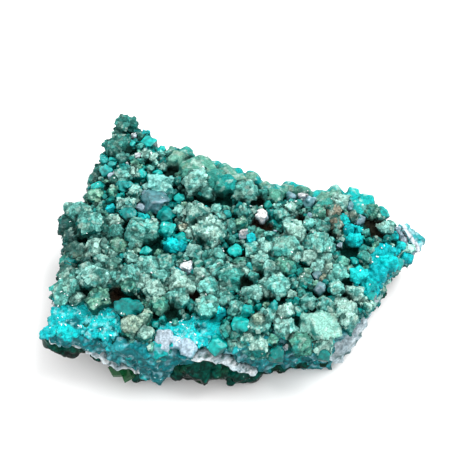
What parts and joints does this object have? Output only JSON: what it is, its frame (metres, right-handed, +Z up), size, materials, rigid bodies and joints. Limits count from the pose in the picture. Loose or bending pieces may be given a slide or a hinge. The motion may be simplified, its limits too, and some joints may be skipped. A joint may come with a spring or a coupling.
{
  "type": "dioptase crust",
  "caption": "Thin mineral specimen: a pale wavy matrix plate with a lumpy crust of teal and pale-coated dioptase crystals above and dark green ones below.",
  "frame": {"origin": "under the middle of the specimen's bounding box, on the surface it rests on", "axes": "+X along the specimen's length, towards its thin pale tip; +Y towards the rear; +Z up, out of the crystal crust"},
  "size_m": [0.0768, 0.0606, 0.0199],
  "materials": {
    "matrix": "matt, chalky, off-white with a blue cast",
    "upper_crystals": "crumbly pale sage coat over glassy teal crystals, with sparkling turquoise ledges",
    "lower_crystals": "glossy, translucent dark green crystals"
  },
  "bodies": {
    "root": {"matrix_plate": "matrix", "upper_crystal_crust": "upper_crystals", "lower_crystal_crust": "lower_crystals"}
  },
  "joints": []
}
